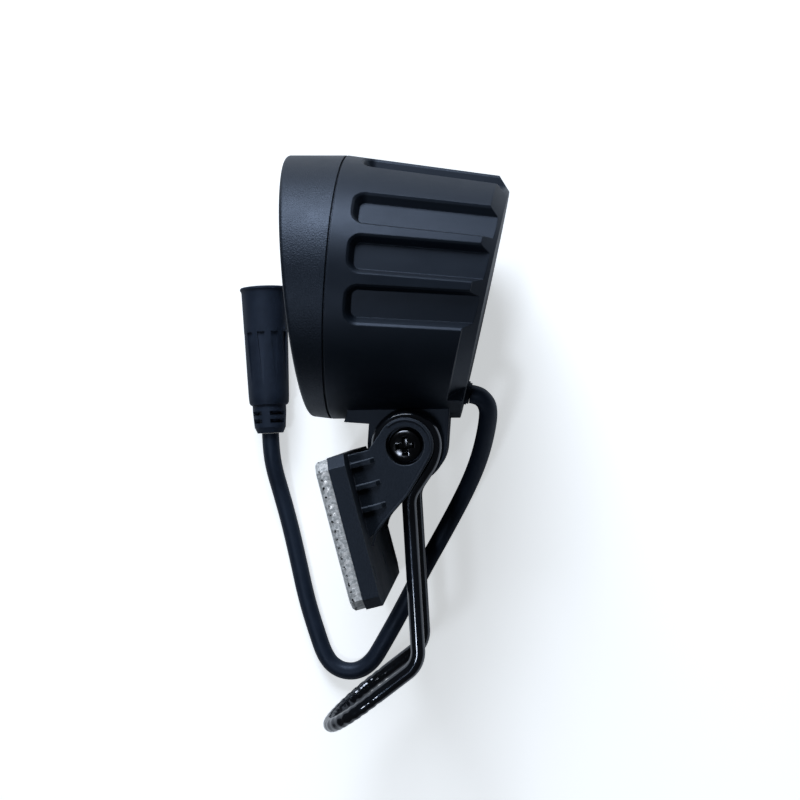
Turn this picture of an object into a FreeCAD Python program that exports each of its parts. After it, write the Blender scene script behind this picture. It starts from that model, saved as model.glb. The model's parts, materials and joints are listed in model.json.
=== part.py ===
import FreeCAD, Part
import math
import os
import re

import Sketcher

# Bicycle headlight with a bent-wire bracket, a retroreflector on its own arms and a plugged lead.
#
# Every lamp piece is drawn in the lamp's own frame: X runs backwards along the lamp's axis, Y is up
# on the bicycle and Z points to the side that the photograph shows. The radii of the tapered walls
# are given at X = 0, just ahead of the seam between housing and bezel. The lamp lies on its tapered
# flank, and one resting placement, worked out from the sizes, turns its pieces into the part's frame.

SIZES = {
    # housing
    "seam_radius": 31.0,
    "seam_x": 1.1,
    "housing_draft": 4.4,
    "rear_face_x": 35.15,
    "rear_slant": 8.4,
    "rear_step": 6.0,
    "rear_chamfer_depth": 3.2,
    "rear_chamfer_width": 3.3,
    "rear_chamfer_sweep": 300.0,
    "pocket_front": 5.2,
    "pocket_width": 8.66,
    "pocket_depth": 2.4,
    "pocket_draft": 30.0,
    "pocket_corner": 2.8,
    "pocket_pitch": 21.0,
    "low_pocket_angle": -11.0,
    "top_pocket_angle": 68.0,
    "rim_side": 0.58,
    "rim_front": 0.3,
    "rim_draft": 55.0,
    "cutter_margin": 1.0,
    # foot and lug below the housing
    "foot_front": 4.8,
    "foot_front_slope": 1.6,
    "foot_rear": 28.4,
    "foot_drop": 0.3,
    "foot_root": 6.2,
    "foot_width": 22.0,
    "pivot_x": 19.5,
    "lug_drop": 4.1,
    "lug_radius": 9.0,
    # inside of the housing
    "housing_wall": 3.8,
    "ledge_x": 19.6,
    "ledge_width": 2.7,
    "cavity_depth": 27.5,
    # bezel and front stack
    "bezel_draft": 3.0,
    "bezel_front": 8.75,
    "bezel_slant": 8.7,
    "bezel_wall": 2.6,
    "bezel_edge": 0.9,
    "lip_front": 4.2,
    "lip_width": 1.2,
    "lip_overlap": 1.2,
    "lens_width": 2.2,
    "gasket_width": 0.8,
    "spigot_length": 4.0,
    "spigot_wall": 1.0,
    "seal_front": 1.4,
    "seal_width": 1.6,
    "seal_depth": 0.5,
    "seam_gap": 0.5,
    "seam_gap_depth": 0.8,
    "fit_gap": 0.1,
    "press_gap": 0.02,
    # light engine
    "cup_step": 0.2,
    "cup_wall": 1.2,
    "cup_throat_radius": 5.5,
    "cup_flange": 1.0,
    "led_board_radius": 11.0,
    "led_board_width": 1.6,
    "emitter_side": 3.5,
    "emitter_height": 0.8,
    "sink_clearance": 0.4,
    "sink_width": 3.0,
    "post_length": 3.0,
    "post_radius": 2.4,
    "post_circle": 14.0,
    "driver_clearance": 1.5,
    "driver_width": 1.6,
    "screw_head_radius": 2.3,
    "screw_head_height": 1.4,
    "inductor_side": 9.0,
    "inductor_height": 2.4,
    "capacitor_radius": 3.2,
    "capacitor_height": 2.8,
    "capacitor_place": 8.0,
    "lead_radius": 0.6,
    "lead_pitch": 2.2,
    "lead_inset": 0.7,
    # pivot
    "bush_radius": 4.6,
    "bush_bore_radius": 2.15,
    "bush_half_length": 14.6,
    "screw_radius": 2.0,
    "head_radius": 3.7,
    "head_edge": 0.45,
    "head_height": 2.4,
    "head_recess": 1.2,
    "drive_reach": 2.6,
    "drive_width": 1.3,
    "drive_depth": 1.4,
    "nut_across": 7.0,
    "nut_height": 2.4,
    "nut_gap": 0.05,
    "screw_tail": 0.5,
    # wire bracket
    "wire_radius": 1.65,
    "eye_plane": 13.0,
    "eye_inner_radius": 4.7,
    "eye_sweep": 270.0,
    "neck_radius": 10.0,
    "neck_turn": 30.0,
    "neck_run": 5.4,
    "neck_exit_radius": 6.0,
    "leg_lean": 7.3,
    "leg_corner_drop": 49.0,
    "bend_radius": 6.0,
    "fork_slope": 41.7,
    "fork_length": 27.2,
    # reflector on its arms
    "plate_top_x": 3.3,
    "plate_fall": 3.6,
    "plate_tilt": 18.75,
    "plate_height": 33.6,
    "plate_width": 58.0,
    "plate_depth": 3.7,
    "plate_corner": 2.4,
    "prism_width": 1.9,
    "reflex_width": 1.0,
    "reflex_bevel": 0.6,
    "layer_inset": 0.35,
    "slot_drop": 26.6,
    "slot_length": 3.5,
    "slot_width": 1.0,
    "slot_depth": 1.2,
    "slot_inset": 3.2,
    "ear_inner": 15.0,
    "ear_outer": 19.0,
    "ear_radius": 6.2,
    "ear_bore_radius": 2.1,
    "ear_front_angle": 40.0,
    "ear_rear_angle": 45.0,
    "counterbore_radius": 4.3,
    "arm_top_depth": 8.5,
    "arm_top_drop": 0.6,
    "arm_knee_depth": 14.2,
    "arm_knee_drop": 12.7,
    "arm_knee_radius": 1.6,
    "arm_heel_depth": 5.65,
    "arm_heel_drop": 18.5,
    "arm_root_drop": 20.4,
    "rib_first": 3.1,
    "rib_pitch": 5.05,
    "rib_width": 1.1,
    "rib_height": 1.0,
    "rib_length": 5.5,
    # cable outlet
    "gland_rise": 8.4,
    "gland_stem_radius": 2.4,
    "gland_stem_gap": 0.5,
    "gland_collar_radius": 2.8,
    "gland_collar_length": 0.6,
    "gland_nose_radius": 2.5,
    "gland_nose_length": 0.5,
    "cable_radius": 2.2,
    "cable_lift": 0.05,
    # plug
    "plug_rim_radius": 6.3,
    "plug_rim_length": 1.8,
    "plug_rim_edge": 0.4,
    "plug_rim_slope": 0.8,
    "plug_radius": 5.5,
    "plug_length": 30.4,
    "plug_end_edge": 0.6,
    "mouth_radius": 4.6,
    "mouth_length": 3.5,
    "socket_radius": 4.2,
    "socket_depth": 12.0,
    "insert_gap": 0.05,
    "insert_length": 3.0,
    "pin_radius": 0.55,
    "pin_length": 5.0,
    "pin_pitch": 2.9,
    "plug_seal_width": 0.8,
    "plug_seal_bore": 2.7,
    "groove_start": 11.6,
    "groove_length": 13.4,
    "groove_width": 1.9,
    "groove_depth": 0.55,
    "relief_radius": 4.3,
    "relief_fall": 0.3,
    "relief_tail_radius": 3.3,
    "relief_length": 7.1,
    "relief_ring": 1.5,
    "relief_slot": 1.0,
    "relief_core": 0.6,
    "relief_slot_sweep": 60.0,
}

doc = FreeCAD.newDocument("BicycleHeadlight")
sheet = doc.addObject("Spreadsheet::Sheet", "Sizes")
for row, (alias, amount) in enumerate(SIZES.items(), start=1):
    sheet.set("A%d" % row, alias.replace("_", " "))
    sheet.set("B%d" % row, str(amount))
    sheet.setAlias("B%d" % row, alias)
doc.recompute()


def bound(text):
    """Point each size's name in a formula at its cell in the sheet."""
    def cell(word):
        return ("Sizes." if word.group() in SIZES else "") + word.group()

    return re.sub(r"[a-z_]+", cell, text)


def number(text):
    """Work a formula out with the sizes that the sheet holds."""
    return float(sheet.evalExpression(bound(text)))


# Radii of the tapered walls at a place along the axis, as formulas.
def housing_radius(place):
    return "(seam_radius - (%s) * tan(housing_draft))" % place


def cavity_radius(place):
    return "(seam_radius - housing_wall - (%s) * tan(housing_draft))" % place


def bezel_radius(place):
    return "(%s - (seam_x - (%s)) * tan(bezel_draft))" % (housing_radius("seam_x"), place)


# Radii and places that follow from one another, from the walls inwards and from the seam rearwards.
LEDGE_RADIUS = "(%s - ledge_width)" % cavity_radius("ledge_x")
SINK_RADIUS = "(%s - sink_clearance)" % cavity_radius("ledge_x")
DRIVER_RADIUS = "(%s - driver_clearance)" % LEDGE_RADIUS
HOOD_RADIUS = "(seam_radius - bezel_wall)"
SPIGOT_END = "(seam_x + spigot_length)"
SPIGOT_RADIUS = "(%s - fit_gap)" % cavity_radius(SPIGOT_END)
SEAT_RADIUS = "(%s - spigot_wall)" % SPIGOT_RADIUS
LENS_RADIUS = "(%s - fit_gap)" % SEAT_RADIUS
LIP_RADIUS = "(%s - lip_overlap)" % LENS_RADIUS
CUP_MOUTH_RADIUS = "(%s - cup_step)" % LIP_RADIUS
SEAL_FRONT = "(seam_x + seal_front)"
SEAL_REAR = "(%s + seal_width)" % SEAL_FRONT
SINK_FRONT = "(ledge_x - sink_width)"
BOARD_FRONT = "(ledge_x + post_length)"
CONE_END = "(rear_face_x + seam_radius * tan(rear_slant))"
FOOT_BOTTOM = "(seam_radius + foot_drop)"
PIVOT_DROP = "(%s + lug_drop)" % FOOT_BOTTOM
GLAND_DROP = "(seam_radius - gland_rise)"
GLAND_X = "(rear_face_x - %s * tan(rear_slant))" % GLAND_DROP
EYE_RADIUS = "(eye_inner_radius + wire_radius)"
# The pivot seen from the reflector plate's top front edge, along the plate's depth and height.
PIVOT_DEPTH = "((pivot_x - plate_top_x) * cos(plate_tilt) + plate_fall * sin(plate_tilt))"
PIVOT_RISE = "(plate_fall * cos(plate_tilt) - (pivot_x - plate_top_x) * sin(plate_tilt))"

# Where the plug's mouth lies, and the way from it to the cable, in degrees from the part's X axis.
PLUG_MOUTH = (-38.5, 39.6)
PLUG_HEADING = -87.2
PLUG_PIECES = ("plug_body", "plug_strain_relief", "plug_insert", "plug_seal", "plug_pins")
GROOVE_COUNT = 10
HEXAGON_TURNS = (30, 90, 150, 210, 270, 330)
POST_TURNS = (90, 210, 330)

# The lead's route in the part's frame, chosen by hand along the photographed curve. It turns down
# behind the lamp, reaches the surface, lies in one loop and climbs into the plug.
GLAND_RUN = 1.6
RELIEF_RUN = 4.3
BEND_SHARE = 0.45
FALLING = [
    (19.9, 10.5, 27.5),
    (21.0, 9.3, 26.5),
    (21.6, 7.6, 25.0),
    (21.2, 4.3, 21.8),
    (19.4, -1.6, 15.8),
    (16.6, -7.6, 10.2),
    (12.6, -14.6, 5.6),
    (7.8, -23.2, 2.8),
]
LYING = [
    (2.0, -33.5),
    (-3.5, -44.1),
    (-7.7, -51.6),
    (-10.7, -56.7),
    (-14.7, -59.3),
    (-19.3, -59.0),
    (-22.8, -56.0),
    (-25.2, -49.4),
    (-28.0, -40.6),
    (-30.1, -31.2),
    (-32.4, -21.6),
]
RISING = [
    (-34.6, -13.2, 3.1),
    (-35.9, -7.4, 5.1),
]

frames = {}


def new_body(label, frame=FreeCAD.Placement()):
    """Start one piece of the lamp, drawn in the frame given."""
    body = doc.addObject("PartDesign::Body", label)
    body.Label = label
    frames[label] = frame
    return body


def new_sketch(body, name, plane="XY_Plane", offset=None, turn_axis=None, turn="0"):
    """Put a sketch on one of the body's origin planes, moved and turned by formulas."""
    sketch = body.newObject("Sketcher::SketchObject", name)
    support = [item for item in body.Origin.OriginFeatures if item.Role == plane][0]
    sketch.AttachmentSupport = (support, [""])
    sketch.MapMode = "FlatFace"
    if turn_axis is not None:
        sketch.AttachmentOffset = FreeCAD.Placement(FreeCAD.Vector(), FreeCAD.Rotation(turn_axis, number(turn)))
        sketch.setExpression(".AttachmentOffset.Rotation.Angle", bound(turn))
    for axis, text in (offset or {}).items():
        sketch.setExpression(".AttachmentOffset.Base." + axis, bound(text))
    return sketch


def pin_point(sketch, item, point, across, along):
    """Hold one point of a sketch by its two coordinates."""
    for kind, text, axis_line in (("DistanceX", across, -2), ("DistanceY", along, -1)):
        if text == "0":
            sketch.addConstraint(Sketcher.Constraint("PointOnObject", item, point, axis_line))
            continue
        index = sketch.addConstraint(Sketcher.Constraint(kind, -1, 1, item, point, number(text)))
        sketch.setExpression("Constraints[%d]" % index, bound(text))


def outline(sketch, corners):
    """Close a loop of straight lines through the corners, each bound to the sheet."""
    first = sketch.GeometryCount
    spots = [FreeCAD.Vector(number(across), number(along), 0) for across, along in corners]
    count = len(spots)
    for index, spot in enumerate(spots):
        sketch.addGeometry(Part.LineSegment(spot, spots[(index + 1) % count]), False)
    for index in range(count):
        following = first + (index + 1) % count
        sketch.addConstraint(Sketcher.Constraint("Coincident", first + index, 2, following, 1))
    for index, (across, along) in enumerate(corners):
        pin_point(sketch, first + index, 1, across, along)


def circle(sketch, across, along, radius):
    """Add a circle whose centre and radius are bound to the sheet."""
    centre = FreeCAD.Vector(number(across), number(along), 0)
    item = sketch.addGeometry(Part.Circle(centre, FreeCAD.Vector(0, 0, 1), number(radius)), False)
    pin_point(sketch, item, 3, across, along)
    index = sketch.addConstraint(Sketcher.Constraint("Radius", item, number(radius)))
    sketch.setExpression("Constraints[%d]" % index, bound(radius))


def extrude(body, kind, name, sketch, length, middle=False, back=False):
    """Pad or pocket a sketch by a formula's length."""
    feature = body.newObject("PartDesign::" + kind, name)
    feature.Profile = sketch
    feature.setExpression("Length", bound(length))
    feature.Midplane = middle
    feature.Reversed = back
    return feature


def revolve(body, kind, name, sketch, sweep="360", middle=False):
    """Turn a sketch about its own X axis, as a revolution or a groove."""
    feature = body.newObject("PartDesign::" + kind, name)
    feature.Profile = sketch
    feature.ReferenceAxis = (sketch, ["H_Axis"])
    feature.setExpression("Angle", bound(sweep))
    feature.Midplane = middle
    return feature


def turned(label, corners, frame=FreeCAD.Placement()):
    """Make a round piece by turning an outline of (axial place, radius) about the X axis."""
    body = new_body(label, frame)
    sketch = new_sketch(body, label + "_section")
    outline(sketch, corners)
    revolve(body, "Revolution", label + "_turned", sketch)
    return body


def ring_corners(start, end, inner, outer):
    """Corners of a plain ring's section."""
    return [(start, inner), (start, outer), (end, outer), (end, inner)]


def edges_where(shape, test):
    """Names of the edges of a shape that pass a test."""
    return ["Edge%d" % (index + 1) for index, edge in enumerate(shape.Edges) if test(edge)]


def soften(body, kind, name, test, size):
    """Fillet or chamfer the edges of the body's present shape that pass the test."""
    doc.recompute()
    base = body.Tip
    feature = body.newObject("PartDesign::" + kind, name)
    feature.Base = (base, edges_where(base.Shape, test))
    feature.setExpression("Radius" if kind == "Fillet" else "Size", bound(size))
    return feature


def pocket_sketch(body, name, angle, side, front):
    """Pocket's mouth on the plane that touches the cone at an angle, grown at its sides and front.

    The loop is square behind the rear face and rounded at its two front corners.
    """
    sketch = new_sketch(body, name)
    around = "create(<<rotation>>; create(<<vector>>; 1; 0; 0); -(%s))" % angle
    along = "create(<<rotation>>; create(<<vector>>; 0; 1; 0); housing_draft)"
    place = "create(<<vector>>; 0; seam_radius * sin(%s); seam_radius * cos(%s))" % (angle, angle)
    sketch.setExpression(".AttachmentOffset", bound("create(<<placement>>; %s; %s * %s)" % (place, around, along)))
    side = "(pocket_width / 2 + %s)" % side
    corner = "(pocket_corner + %s)" % front
    front = "(pocket_front - %s)" % front
    rear = "(%s + 2 * pocket_depth)" % CONE_END
    lines = [
        ((rear, "-" + side), ("%s + %s" % (front, corner), "-" + side)),
        ((front, "%s - %s" % (corner, side)), (front, "%s - %s" % (side, corner))),
        (("%s + %s" % (front, corner), side), (rear, side)),
    ]
    for start, end in lines:
        spots = [FreeCAD.Vector(number(across), number(up), 0) for across, up in (start, end)]
        item = sketch.addGeometry(Part.LineSegment(*spots), False)
        pin_point(sketch, item, 1, *start)
        pin_point(sketch, item, 2, *end)
    closing = sketch.addGeometry(Part.LineSegment(FreeCAD.Vector(number(rear), number(side), 0),
                                                  FreeCAD.Vector(number(rear), number("-" + side), 0)), False)
    sketch.addConstraint(Sketcher.Constraint("Coincident", 2, 2, closing, 1))
    sketch.addConstraint(Sketcher.Constraint("Coincident", closing, 2, 0, 1))
    radius = number(corner)
    for rise, first_angle, first_joint, second_joint in (
            (radius - number(side), math.pi, (1, 1), (0, 2)),
            (number(side) - radius, math.pi / 2, (2, 1), (1, 2))):
        centre = FreeCAD.Vector(number(front) + radius, rise, 0)
        ring = Part.Circle(centre, FreeCAD.Vector(0, 0, 1), radius)
        item = sketch.addGeometry(Part.ArcOfCircle(ring, first_angle, first_angle + math.pi / 2), False)
        sketch.addConstraint(Sketcher.Constraint("Coincident", item, 1, *first_joint))
        sketch.addConstraint(Sketcher.Constraint("Coincident", item, 2, *second_joint))
        index = sketch.addConstraint(Sketcher.Constraint("Radius", item, radius))
        sketch.setExpression("Constraints[%d]" % index, bound(corner))
    return sketch


def make_housing():
    """Tapered shell with an inclined rear face, eight tapered pockets, a foot and a pivot lug."""
    body = new_body("housing")
    section = new_sketch(body, "housing_section")
    outline(section, [("seam_x", "0"), ("seam_x", housing_radius("seam_x")), (CONE_END, housing_radius(CONE_END)),
                      (CONE_END, "0")])
    revolve(body, "Revolution", "housing_cone", section)

    rear = new_sketch(body, "rear_plane", offset={"x": "rear_face_x"}, turn_axis=FreeCAD.Vector(0, 0, 1),
                      turn="-rear_slant")
    outline(rear, [("0", "-2 * seam_radius"), ("seam_radius", "-2 * seam_radius"),
                   ("seam_radius", "2 * seam_radius"), ("0", "2 * seam_radius")])
    extrude(body, "Pocket", "rear_cut", rear, "3 * seam_radius", middle=True)

    land = "(seam_radius - rear_step)"
    chamfer = new_sketch(body, "rear_chamfer_section", offset={"x": "rear_face_x"},
                         turn_axis=FreeCAD.Vector(0, 0, 1), turn="-rear_slant")
    outline(chamfer, [("cutter_margin", land + " - cutter_margin * rear_chamfer_width / rear_chamfer_depth"),
                      ("-rear_chamfer_depth", land + " + rear_chamfer_width"),
                      ("-rear_chamfer_depth - cutter_margin", "seam_radius + cutter_margin"),
                      ("cutter_margin", "seam_radius + cutter_margin")])
    revolve(body, "Groove", "rear_chamfer", chamfer, "rear_chamfer_sweep", middle=True)

    # Each pocket is cut twice from its own tangent plane: a shallow, wide draft breaks the rim and
    # a steeper one makes the walls and the flat floor, which is parallel to the cone's side.
    rim_depth = "rim_side / (tan(rim_draft) - tan(pocket_draft))"
    angles = ["(low_pocket_angle + %d * pocket_pitch)" % step for step in range(3)] + ["top_pocket_angle"]
    for index, angle in enumerate(angles):
        for side, turn in (("near", angle), ("far", "180 - " + angle)):
            name = "%s_pocket_%d" % (side, index)
            rim = pocket_sketch(body, name + "_rim_outline", turn, "rim_side", "rim_front")
            cut = extrude(body, "Pocket", name + "_rim", rim, rim_depth)
            cut.setExpression("TaperAngle", bound("-rim_draft"))
            mouth = pocket_sketch(body, name + "_outline", turn, "0", "0")
            cut = extrude(body, "Pocket", name, mouth, "pocket_depth")
            cut.setExpression("TaperAngle", bound("-pocket_draft"))

    root = "(foot_root - seam_radius)"
    foot = new_sketch(body, "foot_side")
    outline(foot, [("foot_front + foot_front_slope", root), ("foot_front", "-" + FOOT_BOTTOM),
                   ("foot_rear", "-" + FOOT_BOTTOM), ("foot_rear", root)])
    extrude(body, "Pad", "foot", foot, "foot_width", middle=True)
    lug = new_sketch(body, "lug_side")
    outline(lug, [("pivot_x - lug_radius", root), ("pivot_x - lug_radius", "-" + PIVOT_DROP),
                  ("pivot_x + lug_radius", "-" + PIVOT_DROP), ("pivot_x + lug_radius", root)])
    extrude(body, "Pad", "lug", lug, "foot_width", middle=True)
    lug_end = new_sketch(body, "lug_end_side")
    circle(lug_end, "pivot_x", "-" + PIVOT_DROP, "lug_radius")
    extrude(body, "Pad", "lug_end", lug_end, "foot_width", middle=True)

    cavity = new_sketch(body, "cavity_section")
    outline(cavity, [("seam_x", "0"), ("seam_x", cavity_radius("seam_x")), ("ledge_x", cavity_radius("ledge_x")),
                     ("ledge_x", LEDGE_RADIUS), ("cavity_depth", LEDGE_RADIUS), ("cavity_depth", "0")])
    revolve(body, "Groove", "cavity", cavity)
    bore = new_sketch(body, "pivot_bore_outline")
    circle(bore, "pivot_x", "-" + PIVOT_DROP, "bush_radius + press_gap")
    extrude(body, "Pocket", "pivot_bore", bore, "foot_width * 2", middle=True)
    outlet = new_sketch(body, "outlet_section", offset={"x": GLAND_X, "y": "-" + GLAND_DROP},
                        turn_axis=FreeCAD.Vector(0, 0, 1), turn="-rear_slant")
    inner_end = "cavity_depth - %s - cutter_margin" % GLAND_X
    outline(outlet, [("cutter_margin", "0"), ("cutter_margin", "gland_stem_radius + press_gap"),
                     (inner_end, "gland_stem_radius + press_gap"), (inner_end, "0")])
    revolve(body, "Groove", "outlet", outlet)
    return body


def make_bezel():
    """Front ring with a slanted hood, a lip for the lens and a spigot into the housing."""
    front = "(-bezel_front - seam_radius * tan(bezel_slant) - cutter_margin)"
    gap_radius = housing_radius("seam_x") + " - seam_gap_depth"
    seal_floor = SPIGOT_RADIUS + " - seal_depth"
    body = turned("bezel", [
        ("seam_x - seam_gap", gap_radius),
        ("seam_x - seam_gap", bezel_radius("seam_x - seam_gap")),
        (front, bezel_radius(front)),
        (front, HOOD_RADIUS),
        ("-lip_front", HOOD_RADIUS),
        ("-lip_front", LIP_RADIUS),
        ("lip_width - lip_front", LIP_RADIUS),
        ("lip_width - lip_front", SEAT_RADIUS),
        (SPIGOT_END, SEAT_RADIUS),
        (SPIGOT_END, SPIGOT_RADIUS),
        (SEAL_REAR, SPIGOT_RADIUS),
        (SEAL_REAR, seal_floor),
        (SEAL_FRONT, seal_floor),
        (SEAL_FRONT, SPIGOT_RADIUS),
        ("seam_x", SPIGOT_RADIUS),
        ("seam_x", gap_radius),
    ])
    slant = new_sketch(body, "hood_plane", offset={"x": "-bezel_front"},
                       turn_axis=FreeCAD.Vector(0, 0, 1), turn="bezel_slant")
    outline(slant, [("0", "-2 * seam_radius"), ("-seam_radius", "-2 * seam_radius"),
                    ("-seam_radius", "2 * seam_radius"), ("0", "2 * seam_radius")])
    extrude(body, "Pocket", "hood_cut", slant, "3 * seam_radius", middle=True)
    behind = number("bezel_edge - bezel_front")
    between = number("seam_radius - bezel_wall / 2")
    soften(body, "Fillet", "bezel_front_edge",
           lambda edge: edge.CenterOfMass.x < behind and edge.BoundBox.YLength > 2 * between, "bezel_edge")
    return body


def make_front_stack():
    """Clear lens, its gasket and the seal between bezel and housing."""
    lens_front = "(lip_width - lip_front)"
    lens_rear = "(%s + lens_width)" % lens_front
    turned("front_lens", [(lens_front, "0"), (lens_front, LENS_RADIUS), (lens_rear, LENS_RADIUS),
                          (lens_rear, "0")])
    turned("lens_gasket", ring_corners(lens_rear, lens_rear + " + gasket_width", LIP_RADIUS, LENS_RADIUS))
    turned("housing_seal", ring_corners(SEAL_FRONT, SEAL_REAR, SPIGOT_RADIUS + " - seal_depth",
                                        cavity_radius(SEAL_REAR)))


def make_reflector_cup():
    """Parabolic mirror cup whose mouth flange is held against the lens gasket."""
    flange_front = number("lip_width - lip_front + lens_width + gasket_width")
    mouth = number(CUP_MOUTH_RADIUS)
    throat = number("cup_throat_radius")
    wall = number("cup_wall")
    floor = number(SINK_FRONT) - number("led_board_width")
    span = floor - flange_front
    rate = (mouth ** 2 - throat ** 2) / span

    def bowl(offset):
        spots = []
        for step in range(9):
            share = step / 8
            radius = mouth + (throat - mouth) * share
            place = flange_front + (mouth ** 2 - radius ** 2) / rate
            spots.append(FreeCAD.Vector(place, radius + offset, 0))
        curve = Part.BSplineCurve()
        curve.interpolate(spots)
        return curve.toShape(), spots[0], spots[-1]

    inner, inner_mouth, inner_throat = bowl(0)
    outer, outer_mouth, outer_throat = bowl(wall)
    flange_rear = flange_front + number("cup_flange")
    rim = number(LENS_RADIUS)
    path = [
        inner,
        Part.makeLine(inner_throat, outer_throat),
        outer,
        Part.makeLine(outer_mouth, inner_mouth),
    ]
    face = Part.Face(Part.Wire(Part.__sortEdges__(path)))
    bowl_solid = face.revolve(FreeCAD.Vector(), FreeCAD.Vector(1, 0, 0), 360)
    flange = Part.makeCylinder(rim, flange_rear - flange_front, FreeCAD.Vector(flange_front, 0, 0),
                               FreeCAD.Vector(1, 0, 0))
    flange = flange.cut(Part.makeCylinder(mouth, flange_rear - flange_front,
                                          FreeCAD.Vector(flange_front, 0, 0), FreeCAD.Vector(1, 0, 0)))
    cup = doc.addObject("Part::Feature", "reflector_cup")
    cup.Label = "reflector_cup"
    cup.Shape = bowl_solid.fuse(flange).removeSplitter()
    frames["reflector_cup"] = FreeCAD.Placement()


def make_light_engine():
    """Emitters on their board, the heat sink behind them and the driver board on three posts."""
    board_face = "(%s - led_board_width)" % SINK_FRONT
    turned("led_board", [(board_face, "0"), (board_face, "led_board_radius"), (SINK_FRONT, "led_board_radius"),
                         (SINK_FRONT, "0")])
    emitters = new_body("led_emitters")
    pattern = new_sketch(emitters, "emitter_outline", "YZ_Plane", offset={"z": board_face})
    half = "emitter_side / 2"
    outline(pattern, [("-" + half, "-" + half), (half, "-" + half), (half, half), ("-" + half, half)])
    extrude(emitters, "Pad", "emitter_pad", pattern, "emitter_height", back=True)

    sink = turned("heat_sink", [(SINK_FRONT, "0"), (SINK_FRONT, SINK_RADIUS), ("ledge_x", SINK_RADIUS),
                                ("ledge_x", "0")])
    posts = new_sketch(sink, "post_outline", "YZ_Plane", offset={"z": "ledge_x"})
    for turn in POST_TURNS:
        circle(posts, "post_circle * cos(%d)" % turn, "post_circle * sin(%d)" % turn, "post_radius")
    extrude(sink, "Pad", "posts", posts, "post_length")

    board_rear = "(%s + driver_width)" % BOARD_FRONT
    turned("driver_board", [(BOARD_FRONT, "0"), (BOARD_FRONT, DRIVER_RADIUS), (board_rear, DRIVER_RADIUS),
                            (board_rear, "0")])
    screws = new_body("board_screws")
    heads = new_sketch(screws, "head_outline", "YZ_Plane", offset={"z": board_rear})
    for turn in POST_TURNS:
        circle(heads, "post_circle * cos(%d)" % turn, "post_circle * sin(%d)" % turn, "screw_head_radius")
    extrude(screws, "Pad", "heads", heads, "screw_head_height")
    inductor = new_body("driver_inductor")
    side = new_sketch(inductor, "inductor_outline", "YZ_Plane", offset={"z": BOARD_FRONT})
    half = "inductor_side / 2"
    outline(side, [("-" + half, "-" + half), (half, "-" + half), (half, half), ("-" + half, half)])
    extrude(inductor, "Pad", "inductor_pad", side, "inductor_height", back=True)
    capacitor = new_body("driver_capacitor")
    can = new_sketch(capacitor, "capacitor_outline", "YZ_Plane", offset={"z": board_rear})
    circle(can, "capacitor_place", "0", "capacitor_radius")
    extrude(capacitor, "Pad", "capacitor_pad", can, "capacitor_height")
    leads = new_body("inner_leads")
    strands = new_sketch(leads, "lead_outline", "YZ_Plane", offset={"z": board_rear})
    for side in ("", "-"):
        circle(strands, "lead_inset - " + DRIVER_RADIUS, side + "lead_pitch / 2", "lead_radius")
    extrude(leads, "Pad", "lead_pad", strands, "cavity_depth - " + board_rear)


def make_gland():
    """Stepped rubber gland in the chin of the rear face, square to that face."""
    place = FreeCAD.Vector(number(GLAND_X), number("-" + GLAND_DROP), 0)
    frame = FreeCAD.Placement(place, FreeCAD.Rotation(FreeCAD.Vector(0, 0, 1), number("-rear_slant")))
    stem = "(cavity_depth - %s + gland_stem_gap)" % GLAND_X
    tip = "(gland_collar_length + gland_nose_length)"
    turned("cable_gland", [(stem, "0"), (stem, "gland_stem_radius"), ("0", "gland_stem_radius"),
                           ("0", "gland_collar_radius"), ("gland_collar_length", "gland_collar_radius"),
                           ("gland_collar_length", "gland_nose_radius"), (tip, "gland_nose_radius"),
                           (tip, "0")], frame)
    return frame.multVec(FreeCAD.Vector(number(tip), 0, 0)), frame.Rotation.multVec(FreeCAD.Vector(1, 0, 0))


def pivot_frame():
    """Frame whose X axis runs along the pivot, towards the near side."""
    place = FreeCAD.Vector(number("pivot_x"), number("-" + PIVOT_DROP), 0)
    return FreeCAD.Placement(place, FreeCAD.Rotation(FreeCAD.Vector(0, 1, 0), -90))


def make_pivot():
    """Bush in the lug, and the screw and nut that clamp the reflector's ears on it."""
    turned("pivot_bush", ring_corners("-bush_half_length", "bush_half_length", "bush_bore_radius", "bush_radius"),
           pivot_frame())
    head_seat = "(ear_outer - head_recess - head_height / 2)"
    head_top = "(%s + head_height)" % head_seat
    nut_face = "(nut_height / 2 - ear_outer)"
    tail = "(-ear_outer - screw_tail)"
    screw = turned("pivot_screw", [(tail, "0"), (tail, "screw_radius"), (head_seat, "screw_radius"),
                                   (head_seat, "head_radius"), (head_top + " - head_edge", "head_radius"),
                                   (head_top, "head_radius - head_edge"), (head_top, "0")], pivot_frame())
    cross = new_sketch(screw, "drive_outline", "YZ_Plane", offset={"z": head_top})
    half, reach = "drive_width / 2", "drive_reach"
    outline(cross, [("-" + half, "-" + reach), (half, "-" + reach), (half, "-" + half), (reach, "-" + half),
                    (reach, half), (half, half), (half, reach), ("-" + half, reach), ("-" + half, half),
                    ("-" + reach, half), ("-" + reach, "-" + half), ("-" + half, "-" + half)])
    extrude(screw, "Pocket", "drive_recess", cross, "drive_depth")
    # The nut's flats line up with the hexagonal seat in the ear, which is square to the plate.
    nut_turn = FreeCAD.Placement(FreeCAD.Vector(),
                                 FreeCAD.Rotation(FreeCAD.Vector(1, 0, 0), number("plate_tilt + 30")))
    nut = new_body("pivot_nut", pivot_frame().multiply(nut_turn))
    hexagon = new_sketch(nut, "nut_outline", "YZ_Plane", offset={"z": nut_face})
    corner = "(nut_across / 2 / cos(30))"
    outline(hexagon, [("%s * cos(%d)" % (corner, turn), "%s * sin(%d)" % (corner, turn))
                      for turn in HEXAGON_TURNS])
    circle(hexagon, "0", "0", "screw_radius + press_gap")
    extrude(nut, "Pad", "nut_pad", hexagon, "nut_height", back=True)


def outward(solid):
    """The same solid with its faces looking outwards."""
    return solid if solid.Volume > 0 else solid.reversed()


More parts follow.
